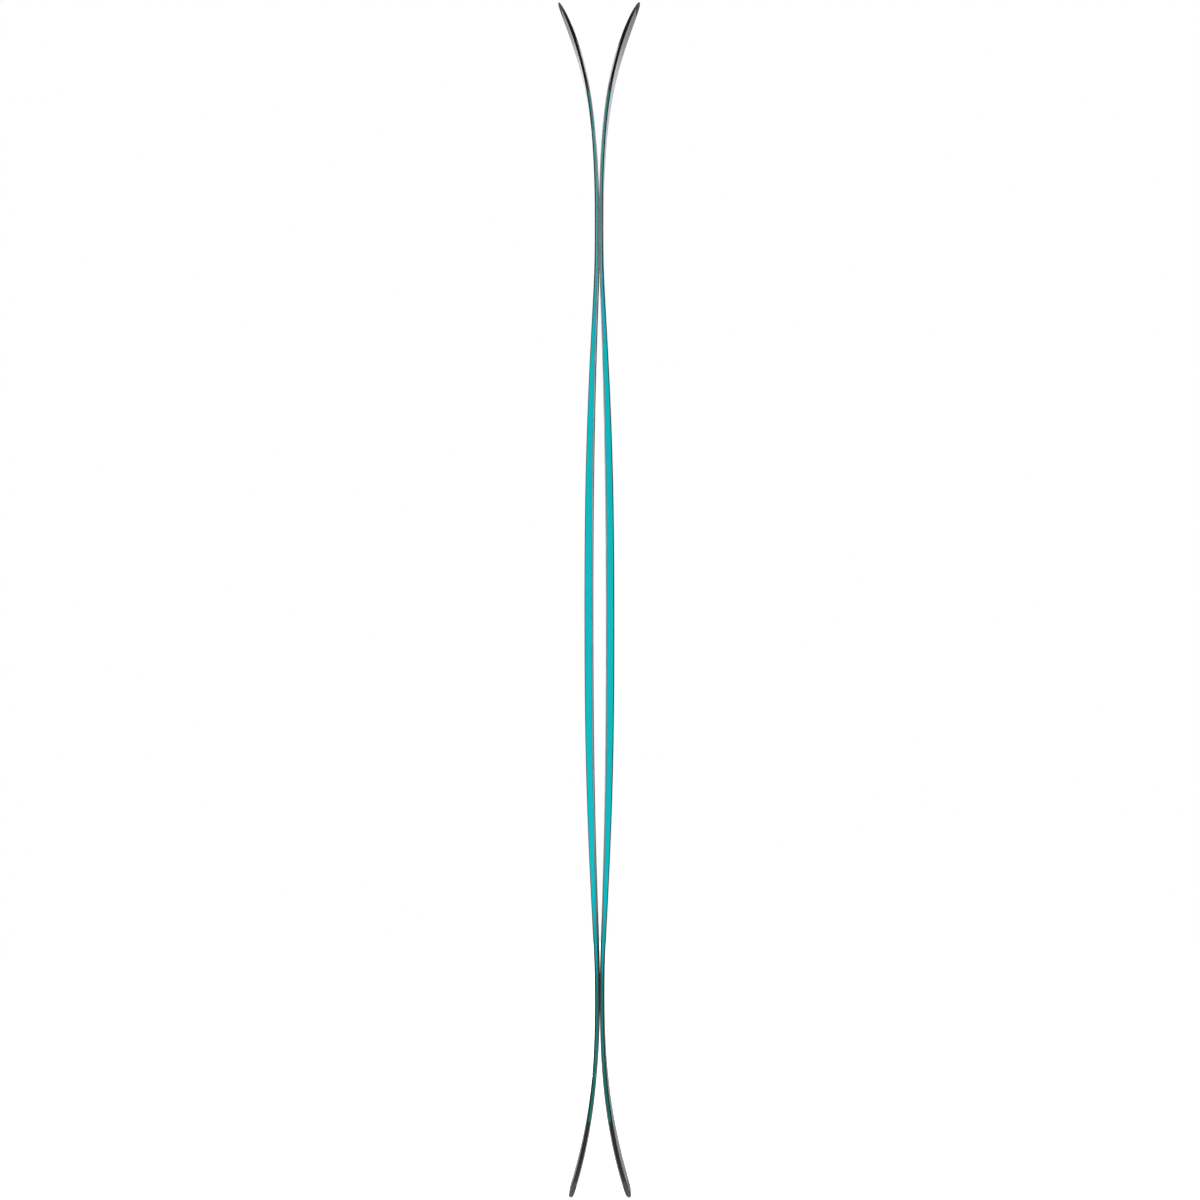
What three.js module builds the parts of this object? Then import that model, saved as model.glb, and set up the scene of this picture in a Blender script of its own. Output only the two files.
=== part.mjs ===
// A pair of cross country touring skis, standing on their tails with their bases together.
// Millimetres. +Z runs up the skis from tail to tip, X is the way the bases face each other,
// and Y runs across the skis. The right ski is on the +X side and the left ski on the -X side.
// Each ski is a laminated sandwich: base and steel edges, glass, wood core between plastic
// sidewalls, glass, topsheet. Every layer follows the same bent profile, a glue line apart.

import * as THREE from 'three';

// ---------- driving dimensions ----------

// Profile of the base, seen from the side
const length = 1720;
const crownLevel = 838; // highest point of the camber, which is also where the ski is thickest
const camber = 9.2; // height of the crown above the snow contact lines
const camberFullness = 2.3; // 2 would make the arch a parabola, and more makes it flatter on top
const camberLow = 338; // the arch of the camber ends here, behind the crown
const camberHigh = 1328; // and here, in front of it
const tip = {
  run: 275, // length of the upturned forebody
  slope: 0.04, // early rise, before the tip starts to curl
  curl: 46.5, // rise that the curl adds at the very tip
  power: 2.95, // how late the curl sets in
};
const tail = { run: 250, slope: 0.03, curl: 32.2, power: 2.35 };
const contactGap = 0.15; // from each base to the plane between the two skis
const bendSoftness = 1.0; // rounds the places where the flat base starts to lift

// Thickness of the sandwich
const crownThickness = 11.7;
const front = { contact: 5.5, end: 2, power: 9 }; // the tip stays thick until its last stretch
const back = { contact: 6.25, end: 7.2, power: 0.7 }; // and the tail thickens towards its end
const bellyReach = 561; // the thick belly has tapered away this far from the crown
const bellyPower = 1.5;

// Outline, seen from above
const tipWidth = 109;
const waistWidth = 78;
const tailWidth = 96;
const tipWidest = 1562;
const waistLevel = 790;
const tailWidest = 120;
const tipRoundness = 5.8; // 2 would make the end an ellipse, and more makes it blunter
const tailRoundness = 4.5;
const bluntEnd = 5; // half width of the blunt ends of the outline

// Layers, as heights above the base
const glueLine = 0.1;
const baseThickness = 1;
const edgeHeight = 1.6;
const edgeWidth = 2;
const flangeThickness = 0.5;
const flangeReach = 8; // from the outline to the inner rim of the edge's flange
const foilThickness = 0.2;
const glassThickness = 0.4;
const topsheetThickness = 0.4;
const plateThickness = 0.6;
const plateHalfWidth = 26;
const shelfGap = 0.3; // sidewalls and topsheet stand this far inside the steel edges
const flankLean = 0.14; // how far the flanks lean inwards for each millimetre of height
const sidewallWidth = 9;

// Places along the ski
const tailGuardTop = 23;
const tailJoint = 116; // the tail spacer gives way to wood core and sidewalls
const tipJoint = 1584; // and those give way to the tip spacer
const tipGuardBase = 1678;
const topsheetTop = 1706; // the topsheet runs on over the tip guard, up to here
const tongue = 6; // how far each end guard reaches in between the layers
const plateHalfLength = 200;
const mountHalfLength = 60; // the flat stretch of topsheet that a binding stands on
const stringerLines = [-21, -7, 7, 21]; // glue joints between the planks of the core
const tipNose = 3; // the guards' rims are rounded off over these lengths
const tailNose = 12;
const noseShare = 0.3; // by this share of their thickness, above and below

const foilBottom = edgeHeight + glueLine;
const coreBottom = foilBottom + foilThickness + glueLine;
const lowerGlassBottom = baseThickness + glueLine;
const lowerGlassTop = coreBottom - glueLine;
const upperGlassDepth = topsheetThickness + glueLine + glassThickness;
const coreDepth = upperGlassDepth + glueLine;
const plateLow = crownLevel - plateHalfLength;
const plateHigh = crownLevel + plateHalfLength;

// ---------- profile and outline ----------

// Follows a rising value, and stays just above zero where that value is negative.
function softLift(value) {
  return (value + Math.hypot(value, bendSoftness)) / 2;
}

function upturn(distance, { run, slope, curl, power }) {
  const turned = Math.max(0, distance) / run;
  return softLift(slope * distance) + curl * turned ** power;
}

// Distance from the plane between the skis to the base.
function baseOffset(level) {
  const along = (level - camberLow) / (camberHigh - camberLow);
  const arch = softLift(camber * (1 - Math.abs(2 * along - 1) ** camberFullness));
  const tipRise = upturn(level - (length - tip.run), tip);
  const tailRise = upturn(tail.run - level, tail);
  return contactGap + arch + tipRise + tailRise;
}

function thickness(level) {
  const away = Math.abs(level - crownLevel);
  const run = level > crownLevel ? length - crownLevel : crownLevel;
  const { contact, end, power } = level > crownLevel ? front : back;
  const endward = Math.max(0, (away - bellyReach) / (run - bellyReach)) ** power;
  const thin = contact + (end - contact) * endward;
  const fade = Math.min(1, away / bellyReach) ** bellyPower;
  const belly = (crownThickness - contact) * (1 + Math.cos(Math.PI * fade)) / 2;
  return thin + belly;
}

function roundedEnd(width, distance, run, roundness) {
  const beyond = Math.min(1, Math.max(0, distance) / run);
  return Math.max(bluntEnd, width / 2 * Math.sqrt(1 - beyond ** roundness));
}

function outline(level) {
  if (level > tipWidest) {
    return roundedEnd(tipWidth, level - tipWidest, length - tipWidest, tipRoundness);
  }
  if (level < tailWidest) {
    return roundedEnd(tailWidth, tailWidest - level, tailWidest, tailRoundness);
  }
  const widest = level > waistLevel ? tipWidest : tailWidest;
  const width = level > waistLevel ? tipWidth : tailWidth;
  const sidecut = ((level - waistLevel) / (widest - waistLevel)) ** 2;
  return (waistWidth + (width - waistWidth) * sidecut) / 2;
}

// Half width of the leaning flank above the steel edge.
function flank(level, height) {
  return outline(level) - shelfGap - flankLean * (height - edgeHeight);
}

// A place in the ski: up from its base, across it from its centre line, and along it.
function place(level, across, height) {
  const slope = baseOffset(level + 0.5) - baseOffset(level - 0.5);
  const lean = Math.atan(slope);
  const x = baseOffset(level) + height * Math.cos(lean);
  const z = level - height * Math.sin(lean);
  return new THREE.Vector3(x, across, z);
}

// ---------- strips that run along the ski ----------

function evenLevels(from, to, steps) {
  return Array.from({ length: steps }, (_, i) => from + (to - from) * i / steps);
}

// Levels that crowd together towards a rounded end.
function endLevels(shoulder, end, steps) {
  return Array.from({ length: steps + 1 }, (_, i) => {
    return shoulder + (end - shoulder) * Math.sin(Math.PI / 2 * i / steps);
  });
}

const mountLow = crownLevel - mountHalfLength;
const mountHigh = crownLevel + mountHalfLength;
const stations = [
  ...endLevels(tailGuardTop, 0, 4).reverse(),
  tailGuardTop + tongue,
  ...evenLevels(tailGuardTop + tongue, tailJoint, 3).slice(1),
  ...evenLevels(tailJoint, camberLow, 5),
  ...evenLevels(camberLow, plateLow, 4),
  ...evenLevels(plateLow, mountLow, 2),
  mountLow,
  mountHigh,
  ...evenLevels(mountHigh, plateHigh, 2).slice(1),
  ...evenLevels(plateHigh, camberHigh, 4),
  ...evenLevels(camberHigh, tipWidest, 5),
  tipWidest,
  ...evenLevels(tipJoint, tipGuardBase - tongue, 4),
  tipGuardBase - tongue,
  ...evenLevels(tipGuardBase, topsheetTop, 3),
  ...endLevels(topsheetTop, length, 4),
];

function levelsBetween(low, high) {
  const clear = 2 * glueLine;
  const inner = stations.filter((level) => level > low + clear && level < high - clear);
  return [low, ...inner, high];
}

// Carries one cross section from level to level. section(level) lists its corners as
// [across, height], always in the same order.
function strip(levels, section) {
  const sections = levels.map(section);
  const corners = sections[0].map(([across, height]) => new THREE.Vector2(height, across));
  const steps = levels.length - 1;
  const geometry = new THREE.ExtrudeGeometry(new THREE.Shape(corners), {
    depth: steps,
    steps,
    bevelEnabled: false,
  });
  const position = geometry.attributes.position;
  for (let i = 0; i < position.count; i += 1) {
    const corner = nearestCorner(corners, position.getX(i), position.getY(i));
    const step = Math.round(position.getZ(i));
    const [across, height] = sections[step][corner];
    const point = place(levels[step], across, height);
    position.setXYZ(i, point.x, point.y, point.z);
  }
  geometry.computeVertexNormals();
  return geometry;
}

function nearestCorner(corners, x, y) {
  const away = corners.map((corner) => Math.hypot(corner.x - x, corner.y - y));
  return away.indexOf(Math.min(...away));
}

// A four cornered section between two heights and two distances across the ski.
function band(from, to, bottom, top) {
  return [[from, bottom], [to, bottom], [to, top], [from, top]];
}

// A full width layer with leaning flanks.
function layer(level, bottom, top) {
  const low = flank(level, bottom);
  const high = flank(level, top);
  return [[-low, bottom], [low, bottom], [high, top], [-high, top]];
}

// The same section on the other side of the centre line, with its corners in step.
function onSide(side, section) {
  return section.map(([across, height]) => [side * across, height]);
}

// ---------- the pieces of one ski ----------

const bodyLow = tailGuardTop + glueLine;
const bodyHigh = tipGuardBase - glueLine;

function baseSheet() {
  return strip(levelsBetween(bodyLow, bodyHigh), (level) => {
    const half = outline(level) - edgeWidth - glueLine;
    return band(-half, half, 0, baseThickness);
  });
}

function steelEdge(side) {
  return strip(levelsBetween(bodyLow, bodyHigh), (level) => {
    const outer = outline(level);
    const flangeBottom = edgeHeight - flangeThickness;
    return onSide(side, [
      [outer, 0],
      [outer, edgeHeight],
      [outer - flangeReach, edgeHeight],
      [outer - flangeReach, flangeBottom],
      [outer - edgeWidth, flangeBottom],
      [outer - edgeWidth, 0],
    ]);
  });
}

function edgeFoil(side) {
  return strip(levelsBetween(bodyLow, bodyHigh), (level) => {
    const outer = outline(level);
    const top = foilBottom + foilThickness;
    return onSide(side, band(outer - shelfGap, outer - flangeReach, foilBottom, top));
  });
}

// Fills the space between the flanges of the two steel edges, level with the foils on them.
function lowerGlass() {
  return strip(levelsBetween(bodyLow, bodyHigh), (level) => {
    const half = outline(level) - flangeReach - glueLine;
    return band(-half, half, lowerGlassBottom, lowerGlassTop);
  });
}

function innerHalf(level) {
  return outline(level) - sidewallWidth;
}

function sidewall(side) {
  return strip(levelsBetween(tailJoint + glueLine, tipJoint - glueLine), (level) => {
    const top = thickness(level) - coreDepth;
    const inner = innerHalf(level);
    return onSide(side, [
      [inner, coreBottom],
      [flank(level, coreBottom), coreBottom],
      [flank(level, top), top],
      [inner, top],
    ]);
  });
}

// The planks are milled lower where the binding plate is let into them.
function coreTop(level) {
  const underPlate = level >= plateLow && level <= plateHigh;
  const recess = underPlate ? plateThickness + glueLine : 0;
  return thickness(level) - coreDepth - recess;
}

// One plank of the core. The two outer planks follow the sidecut on their outer side.
function coreStringer(index) {
  const low = tailJoint + glueLine;
  const high = tipJoint - glueLine;
  const levels = [
    ...levelsBetween(low, plateLow - glueLine),
    ...levelsBetween(plateLow, plateHigh),
    ...levelsBetween(plateHigh + glueLine, high),
  ];
  return strip(levels, (level) => {
    const rim = innerHalf(level) - glueLine;
    const from = index === 0 ? -rim : stringerLines[index - 1] + glueLine / 2;
    const to = index === stringerLines.length ? rim : stringerLines[index] - glueLine / 2;
    return band(from, to, coreBottom, coreTop(level));
  });
}

function bindingPlate() {
  return strip(levelsBetween(plateLow + glueLine, plateHigh - glueLine), (level) => {
    const top = thickness(level) - coreDepth;
    return band(-plateHalfWidth, plateHalfWidth, top - plateThickness, top);
  });
}

function endSpacer(low, high) {
  return strip(levelsBetween(low, high), (level) => {
    return layer(level, coreBottom, thickness(level) - coreDepth);
  });
}

function upperGlass() {
  return strip(levelsBetween(bodyLow, bodyHigh), (level) => {
    const bottom = thickness(level) - upperGlassDepth;
    return layer(level, bottom, bottom + glassThickness);
  });
}

function topsheet() {
  return strip(levelsBetween(bodyLow, topsheetTop - glueLine), (level) => {
    const top = thickness(level);
    return layer(level, top - topsheetThickness, top);
  });
}

// A moulded cap over the end of the sandwich, with a tongue that sits between the layers. It is
// full height from the cap level to the end, and lies under the topsheet from there to the
// shoulder.
function endGuard(levels, { shoulder, cap, end, nose }) {
  return strip(levels, (level) => {
    const full = thickness(level);
    const fromEnd = Math.abs(level - end);
    if (fromEnd > Math.abs(shoulder - end)) {
      return layer(level, coreBottom, full - coreDepth);
    }
    const covered = fromEnd > Math.abs(cap - end);
    const top = covered ? full - topsheetThickness - glueLine : full;
    const inset = noseShare * top * Math.max(0, 1 - fromEnd / nose) ** 2;
    const half = outline(level);
    const upper = half - shelfGap - flankLean * (top - edgeHeight);
    return [[-half, inset], [half, inset], [upper, top - inset], [-upper, top - inset]];
  });
}

function tipGuard() {
  const levels = [
    tipGuardBase - tongue,
    tipGuardBase - glueLine,
    ...levelsBetween(tipGuardBase, topsheetTop - glueLine),
    ...levelsBetween(topsheetTop, length),
  ];
  const places = { shoulder: tipGuardBase, cap: topsheetTop, end: length, nose: tipNose };
  return endGuard(levels, places);
}

function tailGuard() {
  const levels = [
    ...levelsBetween(0, tailGuardTop),
    tailGuardTop + glueLine,
    tailGuardTop + tongue,
  ];
  const places = { shoulder: tailGuardTop, cap: tailGuardTop, end: 0, nose: tailNose };
  return endGuard(levels, places);
}

// ---------- materials ----------

function material(color, roughness, metalness) {
  return new THREE.MeshStandardMaterial({ color, roughness, metalness });
}

const topsheetFilm = material(0x2f3436, 0.35, 0);
const glassFibre = material(0x2c3a38, 0.6, 0);
const sidewallPlastic = material(0x18a3aa, 0.45, 0);
const spacerPlastic = material(0x111211, 0.5, 0);
const guardPlastic = material(0x3a3a3a, 0.5, 0);
const edgeSteel = material(0xa9adb0, 0.3, 1);
const foilRubber = material(0x1c1c1c, 0.9, 0);
const basePlastic = material(0x1b1c1d, 0.4, 0);
const paleWood = material(0xcbab7a, 0.7, 0);
const denseWood = material(0x9c7247, 0.7, 0);
const plateAlloy = material(0x8f959a, 0.4, 1);

// ---------- one ski, then the pair ----------

function mesh(name, geometry, surface) {
  const piece = new THREE.Mesh(geometry, surface);
  piece.name = name;
  return piece;
}

// insideSide says on which side of its centre line a ski has its inside edge.
function ski(name, insideSide) {
  const group = new THREE.Group();
  const add = (piece, geometry, surface) => group.add(mesh(`${name}_${piece}`, geometry, surface));
  add('base_sheet', baseSheet(), basePlastic);
  for (const [sideName, side] of [['inside', insideSide], ['outside', -insideSide]]) {
    add(`${sideName}_steel_edge`, steelEdge(side), edgeSteel);
    add(`${sideName}_edge_foil`, edgeFoil(side), foilRubber);
    add(`${sideName}_sidewall`, sidewall(side), sidewallPlastic);
  }
  add('lower_laminate', lowerGlass(), glassFibre);
  for (let index = 0; index <= stringerLines.length; index += 1) {
    const wood = index % 2 === 0 ? paleWood : denseWood;
    add(`core_stringer_${index + 1}`, coreStringer(index), wood);
  }
  add('binding_plate', bindingPlate(), plateAlloy);
  add('tip_spacer', endSpacer(tipJoint, tipGuardBase - tongue - glueLine), spacerPlastic);
  add('tail_spacer', endSpacer(tailGuardTop + tongue + glueLine, tailJoint), spacerPlastic);
  add('upper_laminate', upperGlass(), glassFibre);
  add('topsheet', topsheet(), topsheetFilm);
  add('tip_guard', tipGuard(), guardPlastic);
  add('tail_guard', tailGuard(), guardPlastic);
  return group;
}

const pair = new THREE.Group();
const rightSki = ski('right', -1);
const leftSki = ski('left', 1);
leftSki.rotation.z = Math.PI;
pair.add(rightSki, leftSki);

// The rounded tails touch the ground at level zero.
pair.position.z = -new THREE.Box3().setFromObject(pair).min.z;

export default pair;
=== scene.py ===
"""The looks of a pair of cross country touring skis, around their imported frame.

Metres, in the frame of the CAD: +Z runs up the skis, the right ski is on the +X side and the
left ski on the -X side, and Y runs across them. Each glued layer is made again as a fine mesh
on the same bent profile, with softened corners, a scaled kick zone and procedural materials.
"""

import math

import bmesh
import bpy
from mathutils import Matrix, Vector

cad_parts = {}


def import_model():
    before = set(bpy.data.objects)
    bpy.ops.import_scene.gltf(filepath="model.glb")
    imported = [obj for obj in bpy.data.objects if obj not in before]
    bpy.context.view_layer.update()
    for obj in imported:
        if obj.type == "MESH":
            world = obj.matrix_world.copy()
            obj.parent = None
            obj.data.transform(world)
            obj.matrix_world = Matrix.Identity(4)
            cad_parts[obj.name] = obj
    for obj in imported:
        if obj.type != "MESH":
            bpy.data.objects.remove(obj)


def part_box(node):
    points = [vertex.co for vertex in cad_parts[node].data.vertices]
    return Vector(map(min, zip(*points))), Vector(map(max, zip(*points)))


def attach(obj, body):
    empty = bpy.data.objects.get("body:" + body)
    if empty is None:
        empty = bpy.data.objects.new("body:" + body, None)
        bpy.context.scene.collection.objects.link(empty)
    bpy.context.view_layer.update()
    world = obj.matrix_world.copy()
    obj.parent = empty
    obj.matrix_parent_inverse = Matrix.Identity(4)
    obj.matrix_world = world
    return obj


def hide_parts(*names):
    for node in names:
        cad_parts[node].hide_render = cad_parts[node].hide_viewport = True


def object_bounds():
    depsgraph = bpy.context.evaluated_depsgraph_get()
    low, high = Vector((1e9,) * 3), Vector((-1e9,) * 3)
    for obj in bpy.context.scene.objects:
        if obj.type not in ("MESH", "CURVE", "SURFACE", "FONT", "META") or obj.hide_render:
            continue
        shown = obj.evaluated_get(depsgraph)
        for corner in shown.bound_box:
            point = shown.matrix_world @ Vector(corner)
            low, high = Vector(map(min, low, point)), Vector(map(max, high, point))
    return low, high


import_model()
cad_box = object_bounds()

MM = 0.001

# ---------- the skis' profile: the CAD's driving dimensions, in metres ----------

LENGTH = 1.720
CROWN = 0.838  # level of the camber's crown
CAMBER = 0.0092
CAMBER_FULLNESS = 2.3
CAMBER_LOW = 0.338
CAMBER_HIGH = 1.328
TIP_TURN = {"run": 0.275, "slope": 0.04, "curl": 0.0465, "power": 2.95}
TAIL_TURN = {"run": 0.250, "slope": 0.03, "curl": 0.0322, "power": 2.35}
CONTACT_GAP = 0.15 * MM
BEND_SOFTNESS = 1.0 * MM

CROWN_THICKNESS = 11.7 * MM
FRONT = (5.5 * MM, 2 * MM, 9)  # thickness at the contact line and the tip, and its power
BACK = (6.25 * MM, 7.2 * MM, 0.7)
BELLY_REACH = 0.561
BELLY_POWER = 1.5

TIP_WIDTH = 0.109
WAIST_WIDTH = 0.078
TAIL_WIDTH = 0.096
TIP_WIDEST = 1.562
WAIST_LEVEL = 0.790
TAIL_WIDEST = 0.120
TIP_ROUNDNESS = 5.8
TAIL_ROUNDNESS = 4.5

GLUE = 0.1 * MM
BASE_THICKNESS = 1 * MM
EDGE_HEIGHT = 1.6 * MM
EDGE_WIDTH = 2 * MM
FLANGE_THICKNESS = 0.5 * MM
FLANGE_REACH = 8 * MM
FOIL_THICKNESS = 0.2 * MM
GLASS = 0.4 * MM
TOPSHEET = 0.4 * MM
PLATE_THICKNESS = 0.6 * MM
PLATE_HALF_WIDTH = 26 * MM
SHELF_GAP = 0.3 * MM
FLANK_LEAN = 0.14
SIDEWALL_WIDTH = 9 * MM
STRINGER_LINES = (-21 * MM, -7 * MM, 7 * MM, 21 * MM)

TAIL_GUARD_TOP = 0.023
TAIL_JOINT = 0.116
TIP_JOINT = 1.584
TIP_GUARD_BASE = 1.678
TOPSHEET_TOP = 1.706  # the topsheet runs on over the tip guard, up to here
TONGUE = 6 * MM
TIP_NOSE = 3 * MM
TAIL_NOSE = 12 * MM
PLATE_HALF_LENGTH = 0.200

FOIL_BOTTOM = EDGE_HEIGHT + GLUE
CORE_BOTTOM = FOIL_BOTTOM + FOIL_THICKNESS + GLUE
LOWER_GLASS_BOTTOM = BASE_THICKNESS + GLUE
UPPER_GLASS_DEPTH = TOPSHEET + GLUE + GLASS
CORE_DEPTH = UPPER_GLASS_DEPTH + GLUE
BODY_LOW = TAIL_GUARD_TOP + GLUE
BODY_HIGH = TIP_GUARD_BASE - GLUE
PLATE_LOW = CROWN - PLATE_HALF_LENGTH
PLATE_HIGH = CROWN + PLATE_HALF_LENGTH

# ---------- fine detail that only the looks have ----------

FINEST_PITCH = 0.6 * MM  # between cross sections at the very ends
WIDEST_PITCH = 9 * MM  # and along the straight middle
PITCH_GROWTH = 0.07  # pitch between the two, as a share of the distance to the nearer end
ARC_STEPS = 4
SHARP_ANGLE = math.radians(32)  # edges that are this sharp stay sharp in the shading

EDGE_RADIUS = 0.12 * MM  # how far each kind of piece is softened at its corners
FOIL_RADIUS = 0.04 * MM
GLASS_RADIUS = 0.05 * MM
TOPSHEET_RADIUS = 0.2 * MM
BODY_RADIUS = 0.1 * MM
GUARD_RADIUS = 1.1 * MM
COVERED_GUARD_RADIUS = 0.3 * MM

SEAM_DEPTH = 0.12 * MM  # a guard is sunk this much where it meets the layers
SEAM_RUN = 1.2 * MM
NOSE_PINCH = 0.42  # share of a guard's thickness that its nose loses on each face
LEAST_HALF_WIDTH = 0.4 * MM  # of a guard's lower face at the very end
LEAST_UPPER_HALF_WIDTH = 0.3 * MM
COVERED_STEPS = 8  # cross sections of a guard under the topsheet
NOSE_STEPS = 24

KICK_LOW = 0.640
KICK_HIGH = 1.190
SCALE_DEPTH = 0.35 * MM
SCALE_PITCH = 8 * MM
SCALE_WIDTH = 9 * MM
SCALE_ARC = 0.45  # how far the middle of a scale reaches ahead of its corners, in pitches
SCALE_MARGIN = 5 * MM  # plain base beside each steel edge
SCALE_FADE = 0.045
SCALE_SAMPLES = 10  # cross sections for each scale
BASE_COLUMNS = 60


def soft_lift(value):
    """Follows a rising value, and stays just above zero where it is negative."""
    return (value + math.hypot(value, BEND_SOFTNESS)) / 2


def upturn(distance, run, slope, curl, power):
    turned = max(0.0, distance) / run
    return soft_lift(slope * distance) + curl * turned**power


def base_offset(level):
    """Distance from the plane between the skis to the base."""
    along = (level - CAMBER_LOW) / (CAMBER_HIGH - CAMBER_LOW)
    arch = soft_lift(CAMBER * (1 - abs(2 * along - 1) ** CAMBER_FULLNESS))
    tip = upturn(level - (LENGTH - TIP_TURN["run"]), **TIP_TURN)
    tail = upturn(TAIL_TURN["run"] - level, **TAIL_TURN)
    return CONTACT_GAP + arch + tip + tail


def thickness(level):
    away = abs(level - CROWN)
    run = LENGTH - CROWN if level > CROWN else CROWN
    contact, end, power = FRONT if level > CROWN else BACK
    endward = max(0.0, (away - BELLY_REACH) / (run - BELLY_REACH)) ** power
    thin = contact + (end - contact) * endward
    fade = min(1.0, away / BELLY_REACH) ** BELLY_POWER
    return thin + (CROWN_THICKNESS - contact) * (1 + math.cos(math.pi * fade)) / 2


def rounded_end(width, distance, run, roundness):
    beyond = min(1.0, max(0.0, distance) / run)
    return width / 2 * math.sqrt(max(0.0, 1 - beyond**roundness))


def outline(level):
    """Half width of the ski, seen from above."""
    if level > TIP_WIDEST:
        run = LENGTH - TIP_WIDEST
        return rounded_end(TIP_WIDTH, level - TIP_WIDEST, run, TIP_ROUNDNESS)
    if level < TAIL_WIDEST:
        return rounded_end(TAIL_WIDTH, TAIL_WIDEST - level, TAIL_WIDEST, TAIL_ROUNDNESS)
    widest = TIP_WIDEST if level > WAIST_LEVEL else TAIL_WIDEST
    width = TIP_WIDTH if level > WAIST_LEVEL else TAIL_WIDTH
    sidecut = ((level - WAIST_LEVEL) / (widest - WAIST_LEVEL)) ** 2
    return (WAIST_WIDTH + (width - WAIST_WIDTH) * sidecut) / 2


def flank(level, height):
    """Half width of the leaning flank above the steel edge."""
    return outline(level) - SHELF_GAP - FLANK_LEAN * (height - EDGE_HEIGHT)


def profile_point(level, across, height):
    """A place in the right ski: up from its base, across it, and along it."""
    step = 0.5 * MM
    slope = (base_offset(level + step) - base_offset(level - step)) / (2 * step)
    lean = math.atan(slope)
    x = base_offset(level) + height * math.cos(lean)
    z = level - height * math.sin(lean)
    return Vector((x, across, z))


# The CAD stands the pair on its lowest vertex, so the tip guard's top says where level 0 is.
CAD_NOSE_SHARE = 0.3
CAD_NOSE_INSET = CAD_NOSE_SHARE * thickness(LENGTH)
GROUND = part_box("right_tip_guard")[1].z - profile_point(LENGTH, 0, CAD_NOSE_INSET).z


# ---------- building strips ----------


def levels_between(low, high, pitch=None):
    """Levels for the cross sections, crowded towards the ski's two ends."""
    levels = [low]
    while True:
        level = levels[-1]
        to_end = min(level, LENGTH - level)
        step = pitch or min(WIDEST_PITCH, max(FINEST_PITCH, PITCH_GROWTH * to_end))
        if level + 1.5 * step > high:
            return levels + [high]
        levels.append(level + step)


def end_levels(shoulder, end, steps):
    """Levels that crowd together towards a rounded end."""
    share = [math.sin(math.pi / 2 * i / steps) for i in range(steps + 1)]
    return [shoulder + (end - shoulder) * s for s in share]


def rounded(corners, radius):
    """The same section with each corner turned into a short arc."""
    points = []
    count = len(corners)
    for i, corner in enumerate(corners):
        here = Vector(corner)
        before = Vector(corners[i - 1]) - here
        after = Vector(corners[(i + 1) % count]) - here
        reach = min(radius, 0.45 * before.length, 0.45 * after.length)
        start = here + before.normalized() * reach
        end = here + after.normalized() * reach
        for step in range(ARC_STEPS + 1):
            t = step / ARC_STEPS
            points.append(start * (1 - t) ** 2 + here * 2 * t * (1 - t) + end * t**2)
    return points


def band(near, far, bottom, top):
    return [(near, bottom), (far, bottom), (far, top), (near, top)]


def layer(level, bottom, top):
    """A full width layer between leaning flanks."""
    low = flank(level, bottom)
    high = flank(level, top)
    return [(-low, bottom), (low, bottom), (high, top), (-high, top)]


def on_side(side, section):
    return [(side * across, height) for across, height in section]


class Ski:
    """One of the two skis. turn is 1 for the right ski and -1 for the left one, which is the
    right ski turned half round the vertical. inside says on which side its inside edge is."""

    def __init__(self, name, turn):
        self.name = name
        self.body = name + "_ski"
        self.turn = turn
        self.inside = -turn

    def point(self, level, across, height):
        place = profile_point(level, across, height)
        return Vector((self.turn * place.x, self.turn * place.y, place.z + GROUND))

    def strip(self, piece, levels, section, material, slot):
        """Carries one cross section from level to level, and stands it in for a CAD node."""
        mesh = bmesh.new()
        share = mesh.verts.layers.float.new("across")
        along = mesh.verts.layers.float.new("along")
        raised = mesh.verts.layers.float.new("raised")
        rings = []
        for level in levels:
            ring = []
            corners = section(level)
            half = max(abs(across) for across, height in corners)
            bottom = min(height for across, height in corners)
            top = max(height for across, height in corners)
            for across, height in corners:
                vertex = mesh.verts.new(self.point(level, across, height))
                vertex[share] = across / half
                vertex[along] = level
                vertex[raised] = (height - bottom) / max(top - bottom, 0.01 * MM)
                ring.append(vertex)
            rings.append(ring)
        for lower, upper in zip(rings, rings[1:]):
            for i in range(len(lower)):
                j = (i + 1) % len(lower)
                mesh.faces.new((lower[i], lower[j], upper[j], upper[i]))
        mesh.faces.new(rings[0][::-1])
        mesh.faces.new(rings[-1])
        bmesh.ops.recalc_face_normals(mesh, faces=mesh.faces)
        node = f"{self.name}_{piece}"
        return self.finished(mesh, node, material)

    def finished(self, mesh, node, material):
        for face in mesh.faces:
            face.smooth = True
        for edge in mesh.edges:
            edge.smooth = edge.calc_face_angle(0) < SHARP_ANGLE
        data = bpy.data.meshes.new(node + "_fine")
        mesh.to_mesh(data)
        mesh.free()
        data.materials.append(material)
        piece = bpy.data.objects.new(node + "_fine", data)
        bpy.context.scene.collection.objects.link(piece)
        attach(piece, self.body)
        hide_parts(node)
        return piece


# ---------- node materials ----------


def srgb(red, green, blue):
    """A colour given in 0 to 255 display values, as the linear one that a shader takes."""

    def linear(value):
        value /= 255
        return value / 12.92 if value <= 0.04045 else ((value + 0.055) / 1.055) ** 2.4

    return (linear(red), linear(green), linear(blue), 1.0)


WHITE = (1, 1, 1, 1)
BLACK = (0, 0, 0, 1)

# Where a mix node keeps its sockets for colours, which share their names with those for numbers.
MIX_FACTOR = 0
MIX_FIRST = 6
MIX_SECOND = 7
MIX_RESULT = 2


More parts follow.
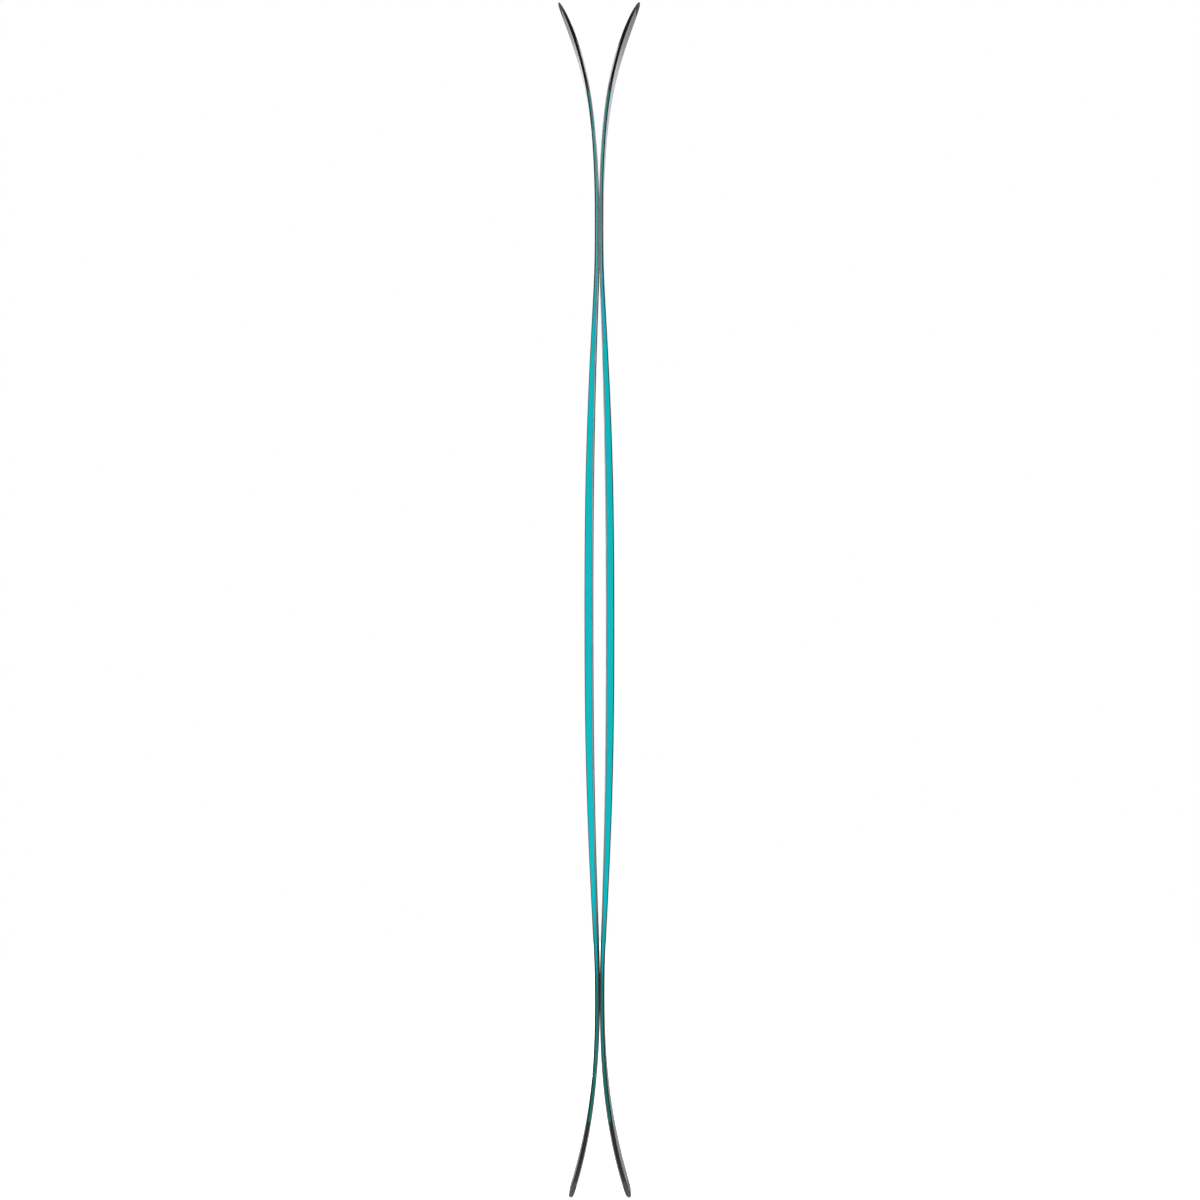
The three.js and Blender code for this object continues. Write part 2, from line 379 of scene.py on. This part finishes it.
class Surface:
    """A material with a few short cuts for its nodes."""

    def __init__(self, name, roughness=0.5, metallic=0.0, specular=0.5):
        self.material = bpy.data.materials.new(name)
        self.material.use_nodes = True
        self.tree = self.material.node_tree
        self.shader = self.tree.nodes["Principled BSDF"]
        self.shader.inputs["Roughness"].default_value = roughness
        self.shader.inputs["Metallic"].default_value = metallic
        self.shader.inputs["Specular IOR Level"].default_value = specular

    def node(self, kind, **settings):
        made = self.tree.nodes.new(kind)
        for name, value in settings.items():
            setattr(made, name, value)
        return made

    def link(self, output, target):
        self.tree.links.new(output, target)

    def place(self, scale):
        """Object coordinates, in metres times the scale along each axis."""
        coordinates = self.node("ShaderNodeTexCoord")
        mapping = self.node("ShaderNodeMapping")
        mapping.inputs["Scale"].default_value = scale
        self.link(coordinates.outputs["Object"], mapping.inputs["Vector"])
        return mapping.outputs["Vector"]

    def attribute(self, name):
        return self.node("ShaderNodeAttribute", attribute_name=name).outputs["Fac"]

    def along(self):
        """Share of the ski's length, from 0 at the tail to 1 at the tip."""
        return self.maths("DIVIDE", self.attribute("along"), LENGTH)

    def noise(self, scale, detail=3.0, roughness=0.6, distortion=0.0):
        texture = self.node("ShaderNodeTexNoise")
        texture.inputs["Scale"].default_value = 1.0
        texture.inputs["Detail"].default_value = detail
        texture.inputs["Roughness"].default_value = roughness
        texture.inputs["Distortion"].default_value = distortion
        self.link(self.place(scale), texture.inputs["Vector"])
        return texture.outputs["Fac"]

    def cells(self, scale, feature="F1"):
        texture = self.node("ShaderNodeTexVoronoi", feature=feature)
        texture.inputs["Scale"].default_value = 1.0
        self.link(self.place(scale), texture.inputs["Vector"])
        return texture.outputs["Distance"]

    def maths(self, operation, first, second=0.0, third=0.0):
        made = self.node("ShaderNodeMath", operation=operation)
        for socket, value in zip(made.inputs, (first, second, third)):
            if isinstance(value, (int, float)):
                socket.default_value = value
            else:
                self.link(value, socket)
        return made.outputs[0]

    def smooth(self, value, low, high, first=0.0, last=1.0):
        """first below low, last above high, and a smooth step between."""
        made = self.node("ShaderNodeMapRange", interpolation_type="SMOOTHSTEP")
        made.inputs["From Min"].default_value = low
        made.inputs["From Max"].default_value = high
        made.inputs["To Min"].default_value = first
        made.inputs["To Max"].default_value = last
        self.link(value, made.inputs["Value"])
        return made.outputs["Result"]

    def ramp(self, value, stops, interpolation="EASE"):
        made = self.node("ShaderNodeValToRGB")
        made.color_ramp.interpolation = interpolation
        elements = made.color_ramp.elements
        while len(elements) < len(stops):
            elements.new(0.5)
        for element, (position, color) in zip(elements, stops):
            element.position = position
            element.color = color
        self.link(value, made.inputs["Fac"])
        return made.outputs["Color"]

    def mix(self, factor, first, second, blend="MIX"):
        made = self.node("ShaderNodeMix", data_type="RGBA", blend_type=blend)
        values = {MIX_FACTOR: factor, MIX_FIRST: first, MIX_SECOND: second}
        for index, value in values.items():
            if isinstance(value, (int, float, tuple)):
                made.inputs[index].default_value = value
            else:
                self.link(value, made.inputs[index])
        return made.outputs[MIX_RESULT]

    def shade(self, color, value, low, high):
        """Darkens or lightens a colour by a grey that runs from low to high with value."""
        grey = self.ramp(value, [(0.25, (low,) * 3 + (1,)), (0.75, (high,) * 3 + (1,))], "LINEAR")
        return self.mix(1.0, color, grey, "MULTIPLY")

    def color(self, output):
        self.link(output, self.shader.inputs["Base Color"])

    def rough(self, value, low, high):
        self.link(self.smooth(value, 0.3, 0.7, low, high), self.shader.inputs["Roughness"])

    def bump(self, height, distance, strength=1.0):
        """Adds relief, in metres, on top of any relief that is already there."""
        made = self.node("ShaderNodeBump")
        made.inputs["Strength"].default_value = strength
        made.inputs["Distance"].default_value = distance
        self.link(height, made.inputs["Height"])
        normal = self.shader.inputs["Normal"]
        if normal.is_linked:
            self.link(normal.links[0].from_socket, made.inputs["Normal"])
        self.link(made.outputs["Normal"], normal)


LENGTHWISE = (900, 900, 9)  # fine scratches that run along the ski
BROAD = (30, 30, 4)
PRINTED_TEAL = srgb(0, 150, 158)


def sidewall_material():
    """Teal plastic, milled lengthwise, bright under the foot and darker towards both ends, where
    that darkening is painted shade. Where the ski is thin, a dark line runs along the upper edge."""
    surface = Surface("teal_sidewall", roughness=0.5, specular=0.06)
    # The teal along the ski is painted shade: brightest under the foot, darker and greyer towards
    # both ends, where less light falls on it.
    bright = srgb(0, 153, 160)
    green = srgb(7, 84, 70)
    deep = srgb(12, 99, 99)
    middling = srgb(4, 132, 138)
    cool = srgb(12, 143, 152)
    greyed = srgb(64, 142, 150)
    shaded_teal_near_tip = srgb(54, 128, 134)
    tip = srgb(28, 108, 103)
    stops = [
        (0.09, green),
        (0.13, deep),
        (0.175, deep),
        (0.21, middling),
        (0.27, bright),
        (0.68, bright),
        (0.745, cool),
        (0.785, greyed),
        (0.87, shaded_teal_near_tip),
        (0.91, tip),
    ]
    color = surface.ramp(surface.along(), stops)
    thin_stops = [(0.19, WHITE), (0.24, BLACK), (0.72, BLACK), (0.78, WHITE)]
    thin = surface.ramp(surface.along(), thin_stops)
    upper_edge = surface.smooth(surface.attribute("raised"), 0.68, 0.76)
    line = surface.maths("MULTIPLY", upper_edge, thin)
    color = surface.mix(line, color, srgb(14, 44, 46))
    streaks = surface.noise(LENGTHWISE, detail=4)
    color = surface.shade(color, streaks, 0.90, 1.05)
    color = surface.shade(color, surface.noise(BROAD), 0.95, 1.03)
    surface.color(color)
    surface.rough(streaks, 0.42, 0.6)
    surface.bump(streaks, 0.03 * MM)
    return surface.material


def steel_material():
    """Ground steel with lengthwise scratches. Its colour along the ski is painted reflection and
    shade: brightest just behind the tip, and darkest at the very tip and where the skis touch
    towards the tail."""
    surface = Surface("ground_steel_edge", roughness=0.3, metallic=1.0)
    # These colours along the edge are painted reflection and painted shade: dim where the skis
    # touch and at the very tip, bright just behind the tip.
    painted_light_tail_end = srgb(122, 122, 123)
    wear_and_painted_dimming = srgb(96, 96, 95)
    dark = srgb(50, 50, 49)
    plain = srgb(108, 121, 125)
    painted_light_near_tip = srgb(116, 120, 122)
    bright = srgb(168, 170, 172)
    painted_dark_tip = srgb(24, 24, 24)
    stops = [
        (0.05, painted_light_tail_end),
        (0.085, wear_and_painted_dimming),
        (0.18, dark),
        (0.205, dark),
        (0.25, wear_and_painted_dimming),
        (0.32, plain),
        (0.74, plain),
        (0.80, wear_and_painted_dimming),
        (0.90, painted_light_near_tip),
        (0.925, painted_light_near_tip),
        (0.94, bright),
        (0.952, bright),
        (0.968, painted_dark_tip),
    ]
    color = surface.ramp(surface.along(), stops)
    scratches = surface.noise((1600, 1600, 14), detail=5)
    patches = surface.noise((60, 60, 22), detail=4, distortion=0.4)
    color = surface.shade(color, patches, 1.04, 0.88)
    surface.color(surface.shade(color, scratches, 0.84, 1.05))
    surface.rough(scratches, 0.22, 0.44)
    surface.bump(scratches, 0.02 * MM)
    return surface.material


def base_material():
    """Sintered polyethylene: near black, faintly clouded, with a stone ground structure."""
    surface = Surface("sintered_base", roughness=0.42, specular=0.25)
    grain = surface.cells((2600, 2600, 1500))
    clouds = surface.noise((70, 70, 16), detail=4)
    color = surface.ramp(clouds, [(0.3, srgb(23, 24, 26)), (0.7, srgb(36, 37, 40))])
    color = surface.shade(color, grain, 0.9, 1.12)
    lines = surface.noise((2, 2400, 26), detail=2)
    surface.color(surface.shade(color, lines, 0.85, 1.1))
    surface.rough(lines, 0.34, 0.5)
    surface.bump(lines, 0.03 * MM)
    return surface.material


def topsheet_material():
    """Printed film: charcoal under the foot, breaking up in facets into silver towards both ends,
    with fine contour lines, a teal line along each side, a black rim and an embossed grain."""
    surface = Surface("printed_topsheet", roughness=0.45, specular=0.1)
    along = surface.along()
    across = surface.maths("ABSOLUTE", surface.attribute("across"))
    facets = surface.cells((15, 15, 5.5))
    # The darker grey of this grade at the tail and at the very tip is painted shade laid over the
    # printed silver.
    grade_stops = [
        (0.02, srgb(80, 80, 84)),
        (0.10, srgb(96, 96, 99)),
        (0.24, srgb(186, 188, 190)),
        (0.86, srgb(196, 198, 202)),
        (0.935, srgb(206, 207, 211)),
        (0.965, srgb(150, 150, 152)),
        (0.995, srgb(118, 118, 120)),
    ]
    grade = surface.ramp(along, grade_stops, "LINEAR")
    silver = surface.shade(grade, facets, 1.04, 0.94)
    charcoal_stops = [
        (0.05, srgb(58, 65, 69)),
        (0.45, srgb(38, 43, 48)),
        (0.90, srgb(27, 31, 35)),
    ]
    charcoal = surface.ramp(facets, charcoal_stops)
    wander = surface.maths("MULTIPLY_ADD", facets, 0.10, -0.05)
    shifted = surface.maths("ADD", along, wander)
    to_tip = surface.smooth(shifted, 0.770, 0.778)
    to_tail = surface.smooth(surface.maths("SUBTRACT", along, wander), 0.218, 0.210)
    ends = surface.maths("MAXIMUM", to_tip, to_tail)
    height = surface.noise((9, 9, 3.2), detail=1.5)
    step = surface.maths("PINGPONG", surface.maths("MULTIPLY", height, 16.0), 0.5)
    contour = surface.smooth(step, 0.035, 0.06, 0.30, 0.0)
    dark = surface.mix(contour, charcoal, srgb(120, 132, 138))
    light = surface.mix(contour, silver, srgb(120, 122, 126))
    color = surface.mix(ends, dark, light)
    accent_starts = surface.smooth(shifted, 0.752, 0.760)
    accent_ends = surface.smooth(shifted, 0.770, 0.778, 1.0, 0.0)
    accent = surface.maths("MULTIPLY", accent_starts, accent_ends)
    color = surface.mix(accent, color, PRINTED_TEAL)
    line_starts = surface.smooth(across, 0.885, 0.89)
    line_ends = surface.smooth(across, 0.925, 0.93, 1.0, 0.0)
    line = surface.maths("MULTIPLY", line_starts, line_ends)
    line = surface.maths("MULTIPLY", line, surface.maths("SUBTRACT", 1.0, ends))
    color = surface.mix(line, color, PRINTED_TEAL)
    rim = surface.smooth(across, 0.978, 0.984)
    color = surface.mix(rim, color, srgb(14, 15, 17))
    speckle = surface.noise((1500, 1500, 1500), detail=2)
    surface.color(surface.shade(color, speckle, 0.95, 1.04))
    emboss = surface.cells((900, 900, 620), "DISTANCE_TO_EDGE")
    surface.rough(speckle, 0.44, 0.6)
    surface.bump(emboss, 0.04 * MM, 0.6)
    return surface.material


def spacer_material():
    """Black plastic, lighter grey towards the tail and beside the tip's joint."""
    surface = Surface("black_spacer", roughness=0.5, specular=0.05)
    streaks = surface.noise(LENGTHWISE, detail=4)
    stops = [
        (0.018, srgb(46, 46, 47)),
        (0.040, srgb(34, 34, 35)),
        (0.070, srgb(34, 34, 35)),
        (0.922, srgb(54, 53, 55)),
        (0.934, srgb(12, 12, 12)),
    ]
    color = surface.ramp(surface.along(), stops)
    surface.color(surface.shade(color, streaks, 0.6, 1.1))
    surface.rough(streaks, 0.42, 0.6)
    surface.bump(streaks, 0.02 * MM)
    return surface.material


def guard_material():
    """Moulded plastic with a spark eroded texture: dark grey at the tail, and black at the tip up
    to a lighter nose, where a painted highlight stands in for the sheen on its rounded end."""
    surface = Surface("moulded_guard", roughness=0.55, specular=0.1)
    texture = surface.noise((2400, 2400, 2400), detail=2)
    wear_and_painted_dimming = surface.noise((120, 120, 90), detail=4)
    grey = srgb(54, 54, 55)
    black = srgb(10, 10, 10)
    # The lighter grey at the very nose is a painted highlight of its rounded end.
    painted_nose_highlight = srgb(60, 60, 61)
    stops = [(0.02, grey), (0.97, black), (0.985, black), (0.997, painted_nose_highlight)]
    color = surface.ramp(surface.along(), stops)
    color = surface.shade(color, wear_and_painted_dimming, 0.9, 1.12)
    surface.color(surface.shade(color, texture, 0.9, 1.08))
    surface.rough(wear_and_painted_dimming, 0.48, 0.64)
    surface.bump(texture, 0.03 * MM)
    return surface.material


def laminate_material():
    """The cut edge of glass fibre in resin: thin plies and broken fibre ends."""
    surface = Surface("glass_fibre", roughness=0.45, specular=0.12)
    fibres = surface.noise((5200, 5200, 160), detail=3)
    stops = [
        (0.35, srgb(10, 14, 18)),
        (0.55, srgb(18, 26, 32)),
        (0.75, srgb(44, 56, 62)),
    ]
    surface.color(surface.ramp(fibres, stops))
    surface.rough(fibres, 0.35, 0.6)
    surface.bump(fibres, 0.02 * MM)
    return surface.material


def foil_material():
    surface = Surface("rubber_foil", roughness=0.85, specular=0.25)
    specks = surface.noise((1800, 1800, 1800), detail=2)
    surface.color(surface.ramp(specks, [(0.3, srgb(24, 24, 24)), (0.7, srgb(38, 38, 38))]))
    surface.bump(specks, 0.02 * MM)
    return surface.material


def wood_material(name, early, late):
    """Planed wood with its grain along the ski."""
    surface = Surface(name, roughness=0.65, specular=0.3)
    rings = surface.noise((260, 260, 3.5), detail=5, distortion=0.8)
    pores = surface.noise((2600, 2600, 60), detail=2)
    color = surface.ramp(rings, [(0.3, early), (0.5, late), (0.7, early)])
    surface.color(surface.shade(color, pores, 0.82, 1.05))
    surface.rough(pores, 0.55, 0.75)
    surface.bump(pores, 0.05 * MM)
    return surface.material


def plate_material():
    surface = Surface("sanded_alloy", roughness=0.4, metallic=1.0)
    sanding = surface.noise((1400, 1400, 60), detail=4)
    surface.color(surface.ramp(sanding, [(0.3, srgb(150, 153, 156)), (0.7, srgb(182, 184, 186))]))
    surface.rough(sanding, 0.3, 0.5)
    surface.bump(sanding, 0.02 * MM)
    return surface.material


FLOOR_GLOW = 0.85


def stage_material():
    """A pale floor that glows, so that the pair throws only a faint shadow."""
    surface = Surface("pale_floor", roughness=0.9, specular=0.1)
    mottle = surface.noise((3, 3, 3), detail=2)
    surface.color(surface.ramp(mottle, [(0.3, srgb(247, 247, 247)), (0.7, srgb(250, 250, 250))]))
    surface.shader.inputs["Emission Color"].default_value = WHITE
    surface.shader.inputs["Emission Strength"].default_value = FLOOR_GLOW
    return surface.material


MATERIALS = {
    "base": base_material(),
    "steel_edge": steel_material(),
    "edge_foil": foil_material(),
    "laminate": laminate_material(),
    "sidewall": sidewall_material(),
    "pale_wood": wood_material("pale_core_wood", srgb(222, 196, 150), srgb(196, 164, 116)),
    "dense_wood": wood_material("dense_core_wood", srgb(176, 132, 88), srgb(140, 98, 62)),
    "binding_plate": plate_material(),
    "spacer": spacer_material(),
    "topsheet": topsheet_material(),
    "guard": guard_material(),
}

# ---------- the pieces of one ski ----------


def scale_relief(level, across, half):
    """Depth of the kick zone's overlapping scales at a place on the base."""
    from_end = min(level - KICK_LOW, KICK_HIGH - level)
    from_side = half - SCALE_MARGIN - abs(across)
    if from_end <= 0 or from_side <= 0:
        return 0.0
    column = across / SCALE_WIDTH + 0.5
    beside = column - math.floor(column) - 0.5
    stagger = 0.5 * (math.floor(column) % 2)
    row = level / SCALE_PITCH + stagger + SCALE_ARC * (1 - 4 * beside * beside)
    ramp = row - math.floor(row)
    fade = min(1.0, from_end / SCALE_FADE)
    return SCALE_DEPTH * ramp * fade * min(1.0, from_side / MM)


def base_sheet(ski):
    """The running base. Its underside is a fine grid, so that the kick zone has real scales."""
    pitch = SCALE_PITCH / SCALE_SAMPLES
    levels = levels_between(BODY_LOW, KICK_LOW)[:-1]
    levels += levels_between(KICK_LOW, KICK_HIGH, pitch)[:-1]
    levels += levels_between(KICK_HIGH, BODY_HIGH)

    def section(level):
        half = outline(level) - EDGE_WIDTH - GLUE
        under = []
        for column in range(BASE_COLUMNS + 1):
            across = half * (2 * column / BASE_COLUMNS - 1)
            under.append((across, scale_relief(level, across, half)))
        return under + [(half, BASE_THICKNESS), (-half, BASE_THICKNESS)]

    ski.strip("base_sheet", levels, section, MATERIALS["base"], "base")


def steel_edge(ski, side_name, side):
    def section(level):
        outer = outline(level)
        flange_bottom = EDGE_HEIGHT - FLANGE_THICKNESS
        corners = [
            (outer, 0),
            (outer, EDGE_HEIGHT),
            (outer - FLANGE_REACH, EDGE_HEIGHT),
            (outer - FLANGE_REACH, flange_bottom),
            (outer - EDGE_WIDTH, flange_bottom),
            (outer - EDGE_WIDTH, 0),
        ]
        return rounded(on_side(side, corners), EDGE_RADIUS)

    levels = levels_between(BODY_LOW, BODY_HIGH)
    material = MATERIALS["steel_edge"]
    ski.strip(f"{side_name}_steel_edge", levels, section, material, "steel_edge")


def edge_foil(ski, side_name, side):
    def section(level):
        outer = outline(level)
        top = FOIL_BOTTOM + FOIL_THICKNESS
        corners = band(outer - SHELF_GAP, outer - FLANGE_REACH, FOIL_BOTTOM, top)
        return rounded(on_side(side, corners), FOIL_RADIUS)

    levels = levels_between(BODY_LOW, BODY_HIGH)
    ski.strip(f"{side_name}_edge_foil", levels, section, MATERIALS["edge_foil"], "edge_foil")


def sidewall(ski, side_name, side):
    def section(level):
        top = thickness(level) - CORE_DEPTH
        inner = outline(level) - SIDEWALL_WIDTH
        corners = [
            (inner, CORE_BOTTOM),
            (flank(level, CORE_BOTTOM), CORE_BOTTOM),
            (flank(level, top), top),
            (inner, top),
        ]
        return rounded(on_side(side, corners), BODY_RADIUS)

    levels = levels_between(TAIL_JOINT + GLUE, TIP_JOINT - GLUE)
    ski.strip(f"{side_name}_sidewall", levels, section, MATERIALS["sidewall"], "sidewall")


def lower_laminate(ski):
    """Lies between the flanges of the steel edges, level with the foils on them."""

    def section(level):
        half = outline(level) - FLANGE_REACH - GLUE
        corners = band(-half, half, LOWER_GLASS_BOTTOM, CORE_BOTTOM - GLUE)
        return rounded(corners, GLASS_RADIUS)

    levels = levels_between(BODY_LOW, BODY_HIGH)
    ski.strip("lower_laminate", levels, section, MATERIALS["laminate"], "laminate")


def full_layer(ski, piece, low, high, heights, radius, slot):
    def section(level):
        bottom, top = heights(level)
        return rounded(layer(level, bottom, top), radius)

    ski.strip(piece, levels_between(low, high), section, MATERIALS[slot], slot)


def core_heights(level):
    return CORE_BOTTOM, thickness(level) - CORE_DEPTH


def core_stringer(ski, index):
    """One plank of the core, milled lower where the binding plate is let into it."""

    def section(level):
        rim = outline(level) - SIDEWALL_WIDTH - GLUE
        near = -rim if index == 0 else STRINGER_LINES[index - 1] + GLUE / 2
        far = rim if index == len(STRINGER_LINES) else STRINGER_LINES[index] - GLUE / 2
        bottom, top = core_heights(level)
        if PLATE_LOW <= level <= PLATE_HIGH:
            top -= PLATE_THICKNESS + GLUE
        return rounded(band(near, far, bottom, top), BODY_RADIUS)

    levels = levels_between(TAIL_JOINT + GLUE, PLATE_LOW - GLUE)
    levels += levels_between(PLATE_LOW, PLATE_HIGH)
    levels += levels_between(PLATE_HIGH + GLUE, TIP_JOINT - GLUE)
    slot = "dense_wood" if index % 2 else "pale_wood"
    ski.strip(f"core_stringer_{index + 1}", levels, section, MATERIALS[slot], slot)


def binding_plate(ski):
    def section(level):
        top = thickness(level) - CORE_DEPTH
        corners = band(-PLATE_HALF_WIDTH, PLATE_HALF_WIDTH, top - PLATE_THICKNESS, top)
        return rounded(corners, BODY_RADIUS)

    levels = levels_between(PLATE_LOW + GLUE, PLATE_HIGH - GLUE)
    ski.strip("binding_plate", levels, section, MATERIALS["binding_plate"], "binding_plate")


def end_guard(ski, piece, shoulder, cap, end, nose):
    """A moulded cap with a tongue between the layers, and a nose rounded in every direction.
    Between its shoulder and the cap level it lies under the topsheet."""
    into = 1 if end > shoulder else -1

    def section(level):
        top = thickness(level)
        if (level - shoulder) * into < 0:
            return rounded(layer(level, *core_heights(level)), BODY_RADIUS)
        from_seam = abs(level - shoulder)
        radius = GUARD_RADIUS
        if (level - cap) * into < 0:
            top -= TOPSHEET + GLUE
            radius = COVERED_GUARD_RADIUS
        sunk = SEAM_DEPTH * max(0.0, 1 - from_seam / SEAM_RUN) ** 2
        taper = min(1.0, abs(end - level) / nose)
        inset = (1 - math.sqrt(1 - (1 - taper) ** 2)) * NOSE_PINCH * top + sunk
        half = max(outline(level) - sunk, LEAST_HALF_WIDTH)
        leaning = half - SHELF_GAP - FLANK_LEAN * (top - EDGE_HEIGHT)
        upper = max(leaning, LEAST_UPPER_HALF_WIDTH)
        corners = [(-half, inset), (half, inset), (upper, top - inset), (-upper, top - inset)]
        return rounded(corners, radius)

    levels = [shoulder - into * TONGUE, shoulder - into * GLUE]
    if cap != shoulder:
        levels += end_levels(shoulder, cap - into * GLUE, COVERED_STEPS)
    levels += end_levels(cap, end, NOSE_STEPS)
    ski.strip(piece, levels, section, MATERIALS["guard"], "guard")


def build_ski(ski):
    base_sheet(ski)
    for side_name, side in (("inside", ski.inside), ("outside", -ski.inside)):
        steel_edge(ski, side_name, side)
        edge_foil(ski, side_name, side)
        sidewall(ski, side_name, side)
    lower_laminate(ski)
    for index in range(len(STRINGER_LINES) + 1):
        core_stringer(ski, index)
    binding_plate(ski)

    def spacer(piece, low, high):
        full_layer(ski, piece, low, high, core_heights, BODY_RADIUS, "spacer")

    spacer("tip_spacer", TIP_JOINT, TIP_GUARD_BASE - TONGUE - GLUE)
    spacer("tail_spacer", TAIL_GUARD_TOP + TONGUE + GLUE, TAIL_JOINT)

    def upper_glass_heights(level):
        bottom = thickness(level) - UPPER_GLASS_DEPTH
        return bottom, bottom + GLASS

    def topsheet_heights(level):
        return thickness(level) - TOPSHEET, thickness(level)

    glass = (upper_glass_heights, GLASS_RADIUS, "laminate")
    sheet = (topsheet_heights, TOPSHEET_RADIUS, "topsheet")
    full_layer(ski, "upper_laminate", BODY_LOW, BODY_HIGH, *glass)
    full_layer(ski, "topsheet", BODY_LOW, TOPSHEET_TOP - GLUE, *sheet)
    end_guard(ski, "tip_guard", TIP_GUARD_BASE, TOPSHEET_TOP, LENGTH, TIP_NOSE)
    end_guard(ski, "tail_guard", TAIL_GUARD_TOP, TAIL_GUARD_TOP, 0.0, TAIL_NOSE)


# ---------- stage, light and camera ----------

FLOOR_RADIUS = 3.2
FLOOR_SIDES = 96


def floor():
    """A plain pale disc that the skis stand on."""
    mesh = bmesh.new()
    bmesh.ops.create_circle(mesh, cap_ends=True, segments=FLOOR_SIDES, radius=FLOOR_RADIUS)
    data = bpy.data.meshes.new("floor")
    mesh.to_mesh(data)
    mesh.free()
    data.materials.append(stage_material())
    disc = bpy.data.objects.new("floor", data)
    bpy.context.scene.collection.objects.link(disc)


def aim(thing, place, target):
    thing.location = Vector(place)
    thing.rotation_euler = (Vector(target) - Vector(place)).to_track_quat("-Z", "Y").to_euler()


def softbox(name, place, target, size, power):
    data = bpy.data.lights.new(name, "AREA")
    data.shape = "RECTANGLE"
    data.size, data.size_y = size
    data.energy = power
    light = bpy.data.objects.new(name, data)
    bpy.context.scene.collection.objects.link(light)
    aim(light, place, target)


AMBIENT = 0.42  # strength of the white surroundings as a light


def world():
    """White all round. The lit side is softer than the white that the camera sees."""
    made = bpy.data.worlds.new("studio")
    made.use_nodes = True
    bpy.context.scene.world = made
    tree = made.node_tree
    seen = tree.nodes.new("ShaderNodeLightPath").outputs["Is Camera Ray"]
    strength = tree.nodes.new("ShaderNodeMapRange")
    strength.inputs["To Min"].default_value = AMBIENT
    strength.inputs["To Max"].default_value = 1.0
    tree.links.new(seen, strength.inputs["Value"])
    background = tree.nodes["Background"]
    background.inputs["Color"].default_value = WHITE
    tree.links.new(strength.outputs["Result"], background.inputs["Strength"])


MIDDLE = Vector((0, 0, (cad_box[0][2] + cad_box[1][2]) / 2))
CAMERA_DISTANCE = 4.3
CAMERA_ASIDE = 0.052  # the camera stands a little to the right ski's side
AIM_ASIDE = 0.0006
CAMERA_ROLL = -0.0008  # and is this far off level, in radians
FRAME_FILL = 1194 / 1200  # share of the frame's height that the skis fill
SENSOR = 36  # millimetres


def camera():
    height = cad_box[1][2] - cad_box[0][2]
    data = bpy.data.cameras.new("camera")
    data.sensor_fit = "VERTICAL"
    data.sensor_height = SENSOR
    data.lens = SENSOR * CAMERA_DISTANCE * FRAME_FILL / height
    made = bpy.data.objects.new("camera", data)
    bpy.context.scene.collection.objects.link(made)
    target = MIDDLE + Vector((AIM_ASIDE, 0, 0))
    aim(made, target + Vector((CAMERA_ASIDE, -CAMERA_DISTANCE, 0)), target)
    made.rotation_euler.rotate_axis("Z", CAMERA_ROLL)
    bpy.context.scene.camera = made


camera()
world()
floor()
softbox("overhead", place=(0, -0.6, 4.2), target=(0, 0, 0), size=(4.5, 4.5), power=150)
softbox("front", place=(0.5, -5.6, 1.3), target=(0, 0, 0.9), size=(3.0, 2.4), power=78)
softbox("left", place=(-3.0, -1.6, 0.8), target=(0, 0, 0.8), size=(1.6, 2.4), power=52)
softbox("right", place=(3.0, -1.6, 1.5), target=(0, 0, 0.9), size=(1.6, 2.4), power=2)
bpy.context.scene.view_settings.view_transform = "Standard"

build_ski(Ski("right", 1))
build_ski(Ski("left", -1))
